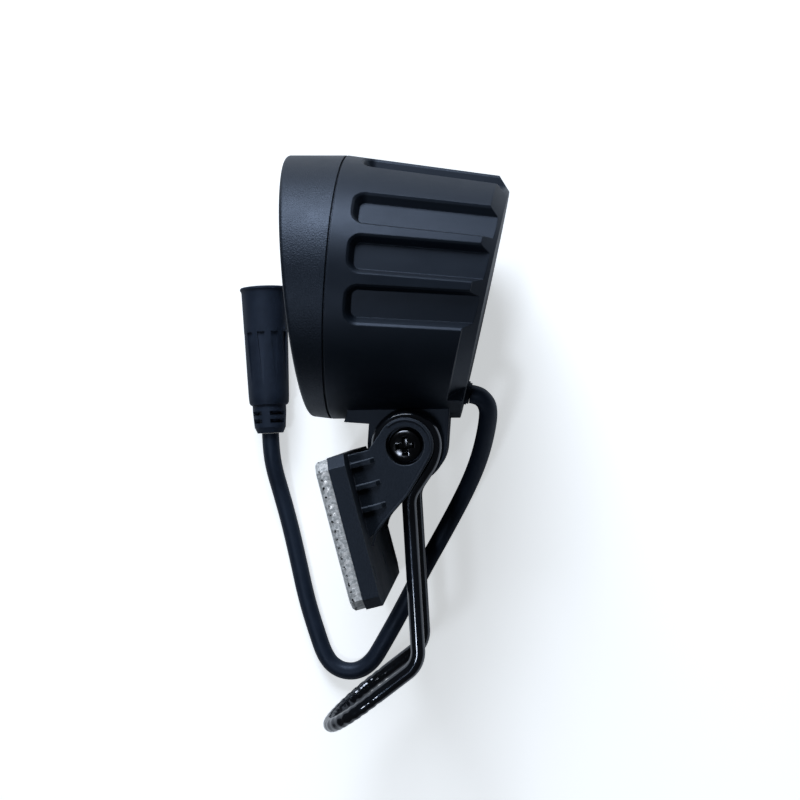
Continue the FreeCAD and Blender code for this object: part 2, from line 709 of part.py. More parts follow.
def make_wire_bracket():
    """One bent wire: an eye on each side of the lug, two legs and a fork that ends in a U."""
    pivot = FreeCAD.Vector(number("pivot_x"), number("-" + PIVOT_DROP), number("eye_plane"))
    eye = number(EYE_RADIUS)
    sweep = math.radians(number("eye_sweep"))
    lean = math.radians(number("leg_lean"))
    neck = math.radians(number("neck_turn"))
    slope = math.radians(number("fork_slope"))
    wire = number("wire_radius")

    def on_eye(angle):
        return pivot + FreeCAD.Vector(eye * math.cos(angle), eye * math.sin(angle), 0)

    def heading(angle):
        """Direction in the leg's plane, turned forwards from straight down."""
        return FreeCAD.Vector(-math.sin(angle), -math.cos(angle), 0)

    def arc_from(start, before, after, radius):
        """Middle and end of an arc from one heading to another."""
        turn = 1 if after > before else -1
        centre = start + heading(before + turn * math.pi / 2) * radius
        middle = centre - heading((before + after) / 2 + turn * math.pi / 2) * radius
        return middle, centre - heading(after + turn * math.pi / 2) * radius

    neck_top = on_eye(0)
    neck_mid, neck_low = arc_from(neck_top, 0, neck, number("neck_radius"))
    knee_top = neck_low + heading(neck) * number("neck_run")
    knee_mid, knee_low = arc_from(knee_top, neck, -lean, number("neck_exit_radius"))
    drop = pivot.y - number("leg_corner_drop") - knee_low.y
    corner = knee_low + heading(-lean) * (drop / heading(-lean).y)
    fork_heading = math.pi / 2 - slope
    cut_back = number("bend_radius") * math.tan((fork_heading + lean) / 2)
    bend_top = corner - heading(-lean) * cut_back
    bend_mid, bend_low = arc_from(bend_top, -lean, fork_heading, number("bend_radius"))
    fork_end = corner + heading(fork_heading) * (number("fork_length") - pivot.z)
    tip = corner + heading(fork_heading) * number("fork_length")
    tip.z = 0
    print("leg corner (%.2f, %.2f)" % (corner.x, corner.y))

    near = [
        Part.Arc(on_eye(sweep), on_eye(sweep / 2), neck_top).toShape(),
        Part.Arc(neck_top, neck_mid, neck_low).toShape(),
        Part.makeLine(neck_low, knee_top),
        Part.Arc(knee_top, knee_mid, knee_low).toShape(),
        Part.makeLine(knee_low, bend_top),
        Part.Arc(bend_top, bend_mid, bend_low).toShape(),
        Part.makeLine(bend_low, fork_end),
    ]
    quarter = corner + heading(fork_heading) * (number("fork_length") - pivot.z * (1 - math.sqrt(0.5)))
    quarter.z = pivot.z * math.sqrt(0.5)
    path = Part.Wire(near + [Part.Arc(fork_end, quarter, tip).toShape()])
    start = on_eye(sweep)
    tangent = FreeCAD.Vector(math.sin(sweep), -math.cos(sweep), 0)
    section = Part.Wire(Part.makeCircle(wire, start, tangent))
    half = outward(path.makePipeShell([section], True, False))
    print("bracket wire: half length %.1f mm, volume %.1f, section times length %.1f" % (
        path.Length, half.Volume, math.pi * wire ** 2 * path.Length))
    bracket = doc.addObject("Part::Feature", "wire_bracket")
    bracket.Label = "wire_bracket"
    bracket.Shape = half.fuse(outward(half.mirror(FreeCAD.Vector(), FreeCAD.Vector(0, 0, 1)))).removeSplitter()
    frames["wire_bracket"] = FreeCAD.Placement()


def plate_frame():
    """Frame of the reflector: X through its thickness backwards, Y up along it."""
    place = FreeCAD.Vector(number("plate_top_x"), number("-%s - plate_fall" % PIVOT_DROP), 0)
    return FreeCAD.Placement(place, FreeCAD.Rotation(FreeCAD.Vector(0, 0, 1), number("plate_tilt")))


def plate_outline(sketch, inset):
    """The reflector's front view, a wide rectangle with cut corners, drawn in by an inset."""
    top = "(-%s)" % inset
    low = "(%s - plate_height)" % inset
    side = "(plate_width / 2 - %s)" % inset
    cut = "(plate_corner - (2 - sqrt(2)) * %s)" % inset
    outline(sketch, [
        (top, "%s - %s" % (cut, side)), (top, "%s - %s" % (side, cut)),
        ("%s - %s" % (top, cut), side), ("%s + %s" % (low, cut), side),
        (low, "%s - %s" % (side, cut)), (low, "%s - %s" % (cut, side)),
        ("%s + %s" % (low, cut), "-" + side), ("%s - %s" % (top, cut), "-" + side),
    ])


def make_reflector():
    """Holder with two ears on ribbed arms, and the two moulded layers of the reflector."""
    holder = new_body("reflector_holder", plate_frame())
    front = new_sketch(holder, "plate_front", "YZ_Plane")
    plate_outline(front, "0")
    extrude(holder, "Pad", "plate", front, "plate_depth")
    for side in ("near", "far"):
        depth = "ear_inner" if side == "near" else "-ear_outer"
        arm = new_sketch(holder, side + "_arm_side", offset={"z": depth})
        outline(arm, [
            ("plate_depth / 2", "-arm_top_drop"),
            ("arm_top_depth", "-arm_top_drop"),
            (PIVOT_DEPTH + " - ear_radius * cos(ear_front_angle)", PIVOT_RISE + " + ear_radius * sin(ear_front_angle)"),
            (PIVOT_DEPTH + " + ear_radius * cos(ear_rear_angle)", PIVOT_RISE + " - ear_radius * sin(ear_rear_angle)"),
            ("arm_knee_depth", "-arm_knee_drop"),
            ("arm_heel_depth", "-arm_heel_drop"),
            ("plate_depth / 2", "-arm_root_drop"),
        ])
        extrude(holder, "Pad", side + "_arm", arm, "ear_outer - ear_inner")
        ear = new_sketch(holder, side + "_ear_side", offset={"z": depth})
        circle(ear, PIVOT_DEPTH, PIVOT_RISE, "ear_radius")
        extrude(holder, "Pad", side + "_ear", ear, "ear_outer - ear_inner")
    knee = FreeCAD.Vector(number("arm_knee_depth"), number("-arm_knee_drop"), 0)
    soften(holder, "Fillet", "arm_knees",
           lambda edge: edge.CenterOfMass.sub(FreeCAD.Vector(knee.x, knee.y, edge.CenterOfMass.z)).Length < 0.01,
           "arm_knee_radius")
    for side in ("", "-"):
        for index in range(3):
            name = "rib_%s%d" % ("far_" if side else "near_", index)
            place = "rib_first + %d * rib_pitch - rib_width / 2" % index
            rib = new_sketch(holder, name + "_plan", "XZ_Plane", offset={"z": place})
            root, top = side + "(ear_inner + rib_height)", side + "(ear_outer + rib_height)"
            end = "plate_depth + rib_length"
            outline(rib, [("plate_depth / 2", root), (end, root), (end, side + "ear_outer"),
                          (end + " - rib_height", top), ("plate_depth / 2", top)])
            extrude(holder, "Pad", name, rib, "rib_width")
    slots = new_sketch(holder, "slot_outlines", "YZ_Plane", offset={"z": "plate_depth"})
    for middle in ("plate_width / 2 - slot_inset", "0", "slot_inset - plate_width / 2"):
        outline(slots, [("slot_length / 2 - slot_drop", middle + " - slot_width / 2"),
                        ("slot_length / 2 - slot_drop", middle + " + slot_width / 2"),
                        ("-slot_length / 2 - slot_drop", middle + " + slot_width / 2"),
                        ("-slot_length / 2 - slot_drop", middle + " - slot_width / 2")])
    extrude(holder, "Pocket", "back_slots", slots, "slot_depth")
    bore = new_sketch(holder, "ear_bore_outline")
    circle(bore, PIVOT_DEPTH, PIVOT_RISE, "ear_bore_radius")
    extrude(holder, "Pocket", "ear_bore", bore, "ear_outer * 3", middle=True)
    seat = new_sketch(holder, "head_seat_outline", offset={"z": "ear_outer - head_recess - head_height / 2"})
    circle(seat, PIVOT_DEPTH, PIVOT_RISE, "counterbore_radius")
    extrude(holder, "Pocket", "head_seat", seat, "ear_outer", back=True)
    nest = new_sketch(holder, "nut_seat_outline", offset={"z": "nut_height / 2 - ear_outer"})
    corner = "((nut_across / 2 + nut_gap) / cos(30))"
    outline(nest, [("%s + %s * cos(%d)" % (PIVOT_DEPTH, corner, turn),
                    "%s + %s * sin(%d)" % (PIVOT_RISE, corner, turn)) for turn in HEXAGON_TURNS])
    extrude(holder, "Pocket", "nut_seat", nest, "ear_outer")

    prisms = new_body("reflector_prisms", plate_frame())
    layer = new_sketch(prisms, "prism_outline", "YZ_Plane")
    plate_outline(layer, "layer_inset")
    extrude(prisms, "Pad", "prism_layer", layer, "prism_width", back=True)
    reflex = new_body("reflector_face", plate_frame())
    cover = new_sketch(reflex, "face_outline", "YZ_Plane", offset={"z": "-prism_width"})
    plate_outline(cover, "layer_inset")
    extrude(reflex, "Pad", "face_layer", cover, "reflex_width", back=True)
    front_face = number("-prism_width - reflex_width")
    soften(reflex, "Chamfer", "face_bevel",
           lambda edge: abs(edge.CenterOfMass.x - front_face) < 0.01, "reflex_bevel")


def plug_frame():
    """Frame of the plug: X runs from the mouth to the cable, level with the surface below."""
    place = FreeCAD.Vector(PLUG_MOUTH[0], PLUG_MOUTH[1], number("plug_rim_radius"))
    return FreeCAD.Placement(place, FreeCAD.Rotation(FreeCAD.Vector(0, 0, 1), PLUG_HEADING))


def make_plug():
    """Round rubber plug with tapering grip grooves, contacts in its mouth and a slotted relief."""
    frame = plug_frame()
    body = turned("plug_body", [
        ("0", "mouth_radius"), ("0", "plug_rim_radius - plug_rim_edge"), ("plug_rim_edge", "plug_rim_radius"),
        ("plug_rim_length", "plug_rim_radius"), ("plug_rim_length + plug_rim_slope", "plug_radius"),
        ("plug_length - plug_end_edge", "plug_radius"), ("plug_length", "plug_radius - plug_end_edge"),
        ("plug_length", "0"),
        ("socket_depth", "0"), ("socket_depth", "socket_radius"), ("mouth_length", "socket_radius"),
        ("mouth_length", "mouth_radius"),
    ], frame)
    groove = new_sketch(body, "grip_outline", offset={"z": "plug_radius - groove_depth"})
    outline(groove, [("groove_start", "-groove_width / 2"), ("groove_start + groove_length", "0"),
                     ("groove_start", "groove_width / 2")])
    cut = extrude(body, "Pocket", "grip_groove", groove, "plug_rim_radius", back=True)
    ring = body.newObject("PartDesign::PolarPattern", "grip_grooves")
    ring.Originals = [cut]
    ring.Axis = ([item for item in body.Origin.OriginFeatures if item.Role == "X_Axis"][0], [""])
    ring.Angle = 360
    ring.Occurrences = GROOVE_COUNT
    body.Tip = ring

    tail = "(plug_length + relief_length)"
    slot_start = "(plug_length + relief_ring)"
    relief = turned("plug_strain_relief", [
        ("plug_length", "0"), ("plug_length", "relief_radius"), (slot_start, "relief_radius"),
        (tail + " - relief_ring", "relief_radius - relief_fall"), (tail, "relief_tail_radius"), (tail, "0"),
    ], frame)
    for index in range(4):
        slots = new_sketch(relief, "slot_outline_%d" % index, turn_axis=FreeCAD.Vector(1, 0, 0),
                           turn="%d" % (90 * index + 45))
        for step in range(2):
            start = "(%s + %d * 2 * relief_slot)" % (slot_start, step)
            outline(slots, ring_corners(start, start + " + relief_slot", "cable_radius + relief_core",
                                        "relief_radius + cutter_margin"))
        revolve(relief, "Groove", "relief_slots_%d" % index, slots, "relief_slot_sweep", middle=True)

    insert_front = "(socket_depth - insert_length)"
    turned("plug_insert", [(insert_front, "0"), (insert_front, "socket_radius - insert_gap"),
                           ("socket_depth", "socket_radius - insert_gap"), ("socket_depth", "0")], frame)
    turned("plug_seal", ring_corners(insert_front + " - plug_seal_width", insert_front, "plug_seal_bore",
                                     "socket_radius - insert_gap"), frame)
    pins = new_body("plug_pins", frame)
    pair = new_sketch(pins, "pin_outline", "YZ_Plane", offset={"z": insert_front})
    for side in ("", "-"):
        circle(pair, side + "pin_pitch / 2", "0", "pin_radius")
    extrude(pins, "Pad", "pin_pad", pair, "pin_length", back=True)
    return frame.multVec(FreeCAD.Vector(number(tail), 0, 0)), frame.Rotation.multVec(FreeCAD.Vector(-1, 0, 0))


def make_cable(corners):
    """Lead along straight runs joined by tangent arcs, each as large as its runs allow."""
    bends = []
    for before, corner, after in zip(corners, corners[1:], corners[2:]):
        arrive = (corner - before).normalize()
        leave = (after - corner).normalize()
        half_turn = arrive.getAngle(leave) / 2
        reach = BEND_SHARE * min((corner - before).Length, (after - corner).Length)
        radius = reach / math.tan(half_turn)
        inward = (leave - arrive).normalize()
        middle = corner + inward * (radius / math.cos(half_turn) - radius)
        bends.append((corner - arrive * reach, middle, corner + leave * reach))
        print("cable bend: radius %.1f mm, turn %.0f degrees" % (radius, math.degrees(half_turn * 2)))
    edges = []
    place = corners[0]
    for start, middle, end in bends:
        edges.append(Part.makeLine(place, start))
        edges.append(Part.Arc(start, middle, end).toShape())
        place = end
    edges.append(Part.makeLine(place, corners[-1]))
    path = Part.Wire(edges)
    heading = (corners[1] - corners[0]).normalize()
    section = Part.Wire(Part.makeCircle(number("cable_radius"), corners[0], heading))
    cable = doc.addObject("Part::Feature", "power_cable")
    cable.Label = "power_cable"
    cable.Shape = outward(path.makePipeShell([section], True, False))
    expected = math.pi * number("cable_radius") ** 2 * path.Length
    print("cable length %.1f mm, volume %.1f, section times length %.1f" % (
        path.Length, cable.Shape.Volume, expected))


make_housing()
make_bezel()
make_front_stack()
make_reflector_cup()
make_light_engine()
gland_mouth, gland_heading = make_gland()
make_pivot()
make_wire_bracket()
make_reflector()
doc.recompute()

# Resting pose: the flank of the cone lies flat, the lamp's up leans as it does in the photograph,
# and the lamp rolls until the reflector's lower far edge also touches the surface.
REST_LEAN = -3.9
taper = math.radians(number("housing_draft"))
flank = number("seam_radius") * math.cos(taper)


def lowest(label, roll):
    """Lowest height of a piece's corners when the lamp is rolled about its own axis."""
    shape = doc.getObject(label).Shape.copy()
    shape.Placement = frames[label]
    heights = []
    for vertex in shape.Vertexes:
        level = vertex.Y * math.sin(roll) + vertex.Z * math.cos(roll)
        heights.append(level * math.cos(taper) - vertex.X * math.sin(taper))
    return min(heights)


low_roll, high_roll = 0.0, math.radians(10)
for step in range(40):
    roll = (low_roll + high_roll) / 2
    if min(lowest("reflector_holder", roll), lowest("reflector_face", roll)) > -flank:
        low_roll = roll
    else:
        high_roll = roll
turn = FreeCAD.Rotation(FreeCAD.Vector(0, 0, 1), REST_LEAN)
turn = turn.multiply(FreeCAD.Rotation(FreeCAD.Vector(0, 1, 0), number("housing_draft")))
turn = turn.multiply(FreeCAD.Rotation(FreeCAD.Vector(1, 0, 0), math.degrees(low_roll)))
rest = FreeCAD.Placement(FreeCAD.Vector(), turn)
for label, frame in frames.items():
    doc.getObject(label).Placement = rest.multiply(frame)
doc.recompute()
box = FreeCAD.BoundBox()
for label in frames:
    box.add(doc.getObject(label).Shape.optimalBoundingBox())
shift = FreeCAD.Vector(-box.Center.x, -box.Center.y, -box.ZMin)
rest = FreeCAD.Placement(shift, turn)
for label, frame in frames.items():
    doc.getObject(label).Placement = rest.multiply(frame)
doc.recompute()
gland_end = rest.multVec(gland_mouth)
gland_way = turn.multVec(gland_heading)
relief_end, plug_way = make_plug()
lying = number("cable_radius + cable_lift")
route = [gland_end, gland_end + gland_way * GLAND_RUN]
route += [FreeCAD.Vector(x, y, z) for x, y, z in FALLING]
route += [FreeCAD.Vector(x, y, lying) for x, y in LYING]
route += [FreeCAD.Vector(x, y, z) for x, y, z in RISING]
route += [relief_end - plug_way * RELIEF_RUN, relief_end]
make_cable(route)
for label in PLUG_PIECES:
    doc.getObject(label).Placement = frames[label]
doc.recompute()
print("roll %.3f degrees, seam centre (%.3f, %.3f, %.3f)" % (math.degrees(low_roll), *shift))
print("box %.2f x %.2f x %.2f" % (box.XLength, box.YLength, box.ZLength))

for item in doc.Objects:
    if "Invalid" in item.State or "Error" in item.State:
        raise RuntimeError("%s did not build" % item.Label)
os.makedirs("parts", exist_ok=True)
for label in list(frames) + ["power_cable"]:
    shape = doc.getObject(label).Shape
    if shape.isNull() or not shape.isValid():
        raise RuntimeError("%s has no valid shape" % label)
    print("%-20s %8.1f mm3, solids %d" % (label, shape.Volume, len(shape.Solids)))
    shape.exportStep("parts/%s.step" % label)
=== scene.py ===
import json
import math

import bpy
from mathutils import Euler, Matrix, Vector


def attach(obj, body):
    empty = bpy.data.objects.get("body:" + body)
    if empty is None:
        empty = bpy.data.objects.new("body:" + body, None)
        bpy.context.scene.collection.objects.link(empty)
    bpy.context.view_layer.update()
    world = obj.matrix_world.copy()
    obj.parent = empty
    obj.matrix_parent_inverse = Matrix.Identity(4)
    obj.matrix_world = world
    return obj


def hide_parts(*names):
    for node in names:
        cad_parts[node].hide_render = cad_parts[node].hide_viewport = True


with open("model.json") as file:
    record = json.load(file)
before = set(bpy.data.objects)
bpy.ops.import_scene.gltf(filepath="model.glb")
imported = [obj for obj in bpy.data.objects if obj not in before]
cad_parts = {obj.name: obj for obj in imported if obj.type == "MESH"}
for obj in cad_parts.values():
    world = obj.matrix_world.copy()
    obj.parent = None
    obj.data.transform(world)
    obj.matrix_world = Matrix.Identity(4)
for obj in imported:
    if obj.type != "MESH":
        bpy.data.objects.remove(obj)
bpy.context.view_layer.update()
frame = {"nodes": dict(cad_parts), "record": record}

MM = 0.001


# Frames


def shifted(x, y, z):
    """A shift by so many millimetres."""
    return Matrix.Translation(Vector((x, y, z)) * MM)


def turned(degrees, axis):
    """A turn about one axis."""
    return Matrix.Rotation(math.radians(degrees), 4, axis)


# The lamp's own frame: X runs backwards along its axis, Y is up on the bicycle and Z points to the
# near side. It rests tilted on its tapered flank, as the part does.
LAMP = shifted(-14.309, 36.639, 30.909) @ turned(-3.9, "Z") @ turned(4.4, "Y") @ turned(0.601, "X")
PIVOT = Vector((19.5, -35.4, 0))
# The reflector's frame: X through its thickness backwards, Y up along it.
PLATE = LAMP @ shifted(3.3, -39.0, 0) @ turned(18.75, "Z")
# The screw's frame: X along the pivot towards the near side.
PIVOT_FRAME = LAMP @ shifted(*PIVOT) @ turned(-90, "Y")
# The plug's frame: X from its mouth towards its lead.
PLUG_FRAME = shifted(-38.5, 39.6, 6.3) @ turned(-87.2, "Z")


# Materials. Each is a moulded, drawn or cut finish of this lamp, made from nodes on object coordinates.
# Noise scales are per metre, and depths and widths are in metres.


BLUE_SHEEN = (0.60, 0.74, 1.0, 1)
CLEAR_IOR = 1.49
EDGE_SAMPLES = 6
# Cosines between the rounded edge and the flat face where the paler edge, part wear and part painted
# highlight, is full, and where it ends.
WEAR_HIGHLIGHT_FULL, WEAR_HIGHLIGHT_NONE = 0.74, 0.99


def new_material(name):
    """A new material, its nodes and its shader."""
    material = bpy.data.materials.new(name)
    material.use_nodes = True
    tree = material.node_tree
    return material, tree, tree.nodes["Principled BSDF"]


def object_noise(tree, scale, detail=4.0, roughness=0.5):
    """Noise of a given scale, fixed to the piece."""
    place = tree.nodes.new("ShaderNodeTexCoord")
    noise = tree.nodes.new("ShaderNodeTexNoise")
    noise.inputs["Scale"].default_value = scale
    noise.inputs["Detail"].default_value = detail
    noise.inputs["Roughness"].default_value = roughness
    tree.links.new(place.outputs["Object"], noise.inputs["Vector"])
    return noise


def spread(tree, source, low, high, from_low=0.3, from_high=0.7):
    """Map a texture's middle range to a plain range of values."""
    span = tree.nodes.new("ShaderNodeMapRange")
    span.inputs["From Min"].default_value = from_low
    span.inputs["From Max"].default_value = from_high
    span.inputs["To Min"].default_value = low
    span.inputs["To Max"].default_value = high
    tree.links.new(source, span.inputs["Value"])
    return span.outputs["Result"]


def blend(tree, amount, under, over):
    """Blend two colours, each a plain tone or another node's colour."""
    mix = tree.nodes.new("ShaderNodeMix")
    mix.data_type = "RGBA"
    tree.links.new(amount, mix.inputs["Factor"])
    for socket, colour in (("A", under), ("B", over)):
        if isinstance(colour, tuple):
            mix.inputs[socket].default_value = (*colour, 1)
        else:
            tree.links.new(colour, mix.inputs[socket])
    return mix.outputs["Result"]


def maths(tree, operation, first, second=None, third=None):
    """One sum on values or sockets."""
    node = tree.nodes.new("ShaderNodeMath")
    node.operation = operation
    for socket, value in zip(node.inputs, (first, second, third)):
        if value is None:
            continue
        if isinstance(value, (int, float)):
            socket.default_value = value
        else:
            tree.links.new(value, socket)
    return node.outputs["Value"]


def vary_roughness(tree, shader, texture, low, high):
    """Let a texture carry the roughness between two values."""
    tree.links.new(spread(tree, texture.outputs["Fac"], low, high), shader.inputs["Roughness"])


def relief(tree, shader, height, distance, strength=1.0, below=None):
    """Raise a fine relief on the surface, on top of one already made."""
    bump = tree.nodes.new("ShaderNodeBump")
    bump.inputs["Distance"].default_value = distance
    bump.inputs["Strength"].default_value = strength
    tree.links.new(height, bump.inputs["Height"])
    if below is not None:
        tree.links.new(below, bump.inputs["Normal"])
    tree.links.new(bump.outputs["Normal"], shader.inputs["Normal"])
    return bump.outputs["Normal"]


def rounded_edges(tree, shader, radius, worn_lit_tone, wear_and_highlight, rest):
    """Round the look of sharp moulded edges and paint them a little paler, part rubbing wear and part
    painted highlight where the rounded edges catch the light. Returns the rounded normal.
    """
    bevel = tree.nodes.new("ShaderNodeBevel")
    bevel.samples = EDGE_SAMPLES
    bevel.inputs["Radius"].default_value = radius
    surface = tree.nodes.new("ShaderNodeNewGeometry")
    lean = tree.nodes.new("ShaderNodeVectorMath")
    lean.operation = "DOT_PRODUCT"
    tree.links.new(bevel.outputs["Normal"], lean.inputs[0])
    tree.links.new(surface.outputs["True Normal"], lean.inputs[1])
    # Painted highlight: the rounded edges are painted paler, part rubbing wear and part the light that they
    # catch.
    edge = spread(tree, lean.outputs["Value"], wear_and_highlight, 0.0, WEAR_HIGHLIGHT_FULL, WEAR_HIGHLIGHT_NONE)
    tree.links.new(blend(tree, edge, rest, worn_lit_tone), shader.inputs["Base Color"])
    return bevel.outputs["Normal"]


def moulded_plastic(name, dark, light, grain, depth, rough, edge=0.0003, wear_and_highlight=0.35,
                    worn_lit_tone=(0.045, 0.060, 0.080)):
    """Spark-eroded moulding grain, soft edges painted paler by wear and by painted highlight, and a faint
    change of tone and of sheen.
    """
    material, tree, shader = new_material(name)
    tone = object_noise(tree, 60.0, detail=3.0)
    colour = blend(tree, spread(tree, tone.outputs["Fac"], 0, 1), dark, light)
    rounded = rounded_edges(tree, shader, edge, worn_lit_tone, wear_and_highlight, colour)
    handling = object_noise(tree, 140.0, detail=6.0, roughness=0.6)
    vary_roughness(tree, shader, handling, *rough)
    shader.inputs["Specular Tint"].default_value = BLUE_SHEEN
    texture = object_noise(tree, grain, detail=2.0, roughness=0.6)
    relief(tree, shader, texture.outputs["Fac"], depth, below=rounded)
    return material


def rubber(name, tone, rough):
    """Dull elastomer with a soft, slightly dusty surface."""
    material, tree, shader = new_material(name)
    dust = object_noise(tree, 220.0, detail=8.0, roughness=0.7)
    dusty = tuple(value * 1.5 + 0.002 for value in tone)
    colour = blend(tree, spread(tree, dust.outputs["Fac"], 0, 1), tone, dusty)
    tree.links.new(colour, shader.inputs["Base Color"])
    vary_roughness(tree, shader, dust, rough - 0.08, rough + 0.08)
    shader.inputs["Specular IOR Level"].default_value = 0.42
    shader.inputs["Specular Tint"].default_value = BLUE_SHEEN
    skin = object_noise(tree, 2400.0, detail=2.0)
    relief(tree, shader, skin.outputs["Fac"], distance=0.00002)
    return material


def plain_metal(name, colour, rough):
    """Bare or plated metal with faint marks from its making."""
    material, tree, shader = new_material(name)
    shader.inputs["Base Color"].default_value = (*colour, 1)
    shader.inputs["Metallic"].default_value = 1.0
    marks = object_noise(tree, 900.0, detail=5.0)
    vary_roughness(tree, shader, marks, rough * 0.7, rough * 1.3)
    relief(tree, shader, marks.outputs["Fac"], distance=0.00001)
    return material


def coated_wire():
    """Thick glossy dip coat on drawn steel wire, with a soft orange peel."""
    material, tree, shader = new_material("coated_wire")
    shader.inputs["Specular Tint"].default_value = BLUE_SHEEN
    shader.inputs["Base Color"].default_value = (0.003, 0.004, 0.006, 1)
    flow = object_noise(tree, 260.0, detail=3.0)
    vary_roughness(tree, shader, flow, low=0.13, high=0.24)
    shader.inputs["Coat Weight"].default_value = 1.0
    shader.inputs["Coat Roughness"].default_value = 0.05
    relief(tree, shader, flow.outputs["Fac"], distance=0.00010, strength=0.6)
    return material


def clear_plastic(name, colour, rough):
    """Clear moulding with a faint haze."""
    material, tree, shader = new_material(name)
    shader.inputs["Base Color"].default_value = (*colour, 1)
    shader.inputs["Transmission Weight"].default_value = 0.92
    shader.inputs["IOR"].default_value = CLEAR_IOR
    haze = object_noise(tree, 500.0, detail=4.0)
    vary_roughness(tree, shader, haze, rough, rough * 2)
    return material


def flat_finish(name, colour, rough):
    """Plain painted or laminated surface with a fine speckle."""
    material, tree, shader = new_material(name)
    speckle = object_noise(tree, 1500.0, detail=3.0)
    darker = tuple(value * 0.8 for value in colour)
    tree.links.new(blend(tree, spread(tree, speckle.outputs["Fac"], 0, 1), darker, colour),
                   shader.inputs["Base Color"])
    shader.inputs["Roughness"].default_value = rough
    relief(tree, shader, speckle.outputs["Fac"], distance=0.00001)
    return material


# The reflector is moulded in two layers. Its depth is X of its own frame, which falls from the holder
# towards the face, and its height is Y. Both are in metres.

PRISM_LAYER = 0.0019
FACET_PITCH = 0.00175
# The share of a facet's pitch that its crescent fills, and how far its ends bow, as a share too.
FACET_SHARE, FACET_BOW = 0.42, 0.30
SPECK_PITCH = 0.0019
SPECK_DEPTH = PRISM_LAYER + 0.0001
# Half of a speck's size: through the reflector, and along it as a share of the pitch.
SPECK_HALF_DEEP, SPECK_HALF_STEP = 0.00026, 0.15
# How far noise shifts the specks, as a share of the pitch, and the grit below which one is missing.
SPECK_DRIFT, SPECK_GRIT = 1.4, 0.44
# Half of the joint line's width, as a share of half a speck's.
SEAM_HALF = 0.22
# Ahead of this depth the plain front begins.
FRONT_FACE = -0.00270
PRISM_CELLS, CELL_DISORDER = 560.0, 0.15


def plate_place(tree):
    """The place on the reflector, in its own frame, for a pattern that follows its sides."""
    place = tree.nodes.new("ShaderNodeTexCoord")
    mapping = tree.nodes.new("ShaderNodeMapping")
    inverse = PLATE.inverted()
    mapping.inputs["Location"].default_value = inverse.translation
    mapping.inputs["Rotation"].default_value = inverse.to_euler()
    tree.links.new(place.outputs["Object"], mapping.inputs["Vector"])
    return mapping.outputs["Vector"]


def crescent_mask(tree, depth, height, patch):
    """The prisms' crescents: the row's phase bows with the depth, so that each facet's edge is an arc."""
    middle = maths(tree, "MULTIPLY_ADD", depth, 2 / PRISM_LAYER, 1.0)
    bow = maths(tree, "MULTIPLY", maths(tree, "MULTIPLY", middle, middle), FACET_BOW)
    rows = maths(tree, "MULTIPLY", height, 1 / FACET_PITCH)
    row = maths(tree, "FRACT", maths(tree, "ADD", rows, bow))
    crescent = maths(tree, "MULTIPLY", maths(tree, "LESS_THAN", row, FACET_SHARE),
                     maths(tree, "GREATER_THAN", depth, -PRISM_LAYER))
    uneven = spread(tree, patch.outputs["Fac"], 0.25, 1.0, from_low=0.40, from_high=0.55)
    return maths(tree, "MULTIPLY", crescent, uneven)


def joint_masks(tree, depth, height, grit, patch):
    """The joint of the two layers: its line, and a row of specks along it, some of them missing."""
    off_joint = maths(tree, "DIVIDE", maths(tree, "ADD", depth, SPECK_DEPTH), SPECK_HALF_DEEP)
    drift = maths(tree, "MULTIPLY", patch.outputs["Fac"], SPECK_DRIFT)
    rows = maths(tree, "MULTIPLY", height, 1 / SPECK_PITCH)
    step = maths(tree, "FRACT", maths(tree, "ADD", rows, drift))
    off_step = maths(tree, "DIVIDE", maths(tree, "SUBTRACT", step, 0.5), SPECK_HALF_STEP)
    reach = maths(tree, "ADD", maths(tree, "MULTIPLY", off_joint, off_joint),
                  maths(tree, "MULTIPLY", off_step, off_step))
    speck = maths(tree, "MULTIPLY", maths(tree, "LESS_THAN", reach, 1.0),
                  maths(tree, "GREATER_THAN", grit.outputs["Fac"], SPECK_GRIT))
    seam = maths(tree, "LESS_THAN", maths(tree, "ABSOLUTE", off_joint), SEAM_HALF)
    return seam, speck


def prism_plastic(name, pale, shade, dark, cover):
    """Clear reflector moulding: crescent facets behind, a thin cover with specks ahead."""
    material, tree, shader = new_material(name)
    apart = tree.nodes.new("ShaderNodeSeparateXYZ")
    tree.links.new(plate_place(tree), apart.inputs["Vector"])
    depth, height = apart.outputs["X"], apart.outputs["Y"]
    grit = object_noise(tree, 1700.0, detail=4.0, roughness=0.6)
    patch = object_noise(tree, 420.0, detail=2.0)
    grainy = spread(tree, grit.outputs["Fac"], 0, 1, from_low=0.38, from_high=0.60)
    colour = blend(tree, grainy, pale, shade)

    crescent = crescent_mask(tree, depth, height, patch)
    seam, speck = joint_masks(tree, depth, height, grit, patch)
    for mask, amount, tone in ((crescent, 0.85, cover), (seam, 0.55, shade), (speck, 1.0, dark)):
        colour = blend(tree, maths(tree, "MULTIPLY", mask, amount), colour, tone)

    # The plain front shows the corner prisms through it, as small pale cells.
    cells = tree.nodes.new("ShaderNodeTexVoronoi")
    cells.inputs["Scale"].default_value = PRISM_CELLS
    cells.inputs["Randomness"].default_value = CELL_DISORDER
    tree.links.new(plate_place(tree), cells.inputs["Vector"])
    ahead = maths(tree, "LESS_THAN", depth, FRONT_FACE)
    rims = spread(tree, cells.outputs["Distance"], 0, 1, from_low=0.15, from_high=0.62)
    prisms = blend(tree, rims, cover, pale)
    colour = blend(tree, maths(tree, "MULTIPLY", ahead, 0.85), colour, prisms)
    tree.links.new(colour, shader.inputs["Base Color"])
    shader.inputs["Transmission Weight"].default_value = 0.2
    shader.inputs["IOR"].default_value = CLEAR_IOR
    vary_roughness(tree, shader, grit, low=0.12, high=0.32)
    cell_relief = relief(tree, shader, cells.outputs["Distance"], distance=0.00030, strength=0.8)
    relief(tree, shader, crescent, distance=0.00010, strength=0.5, below=cell_relief)
    return material


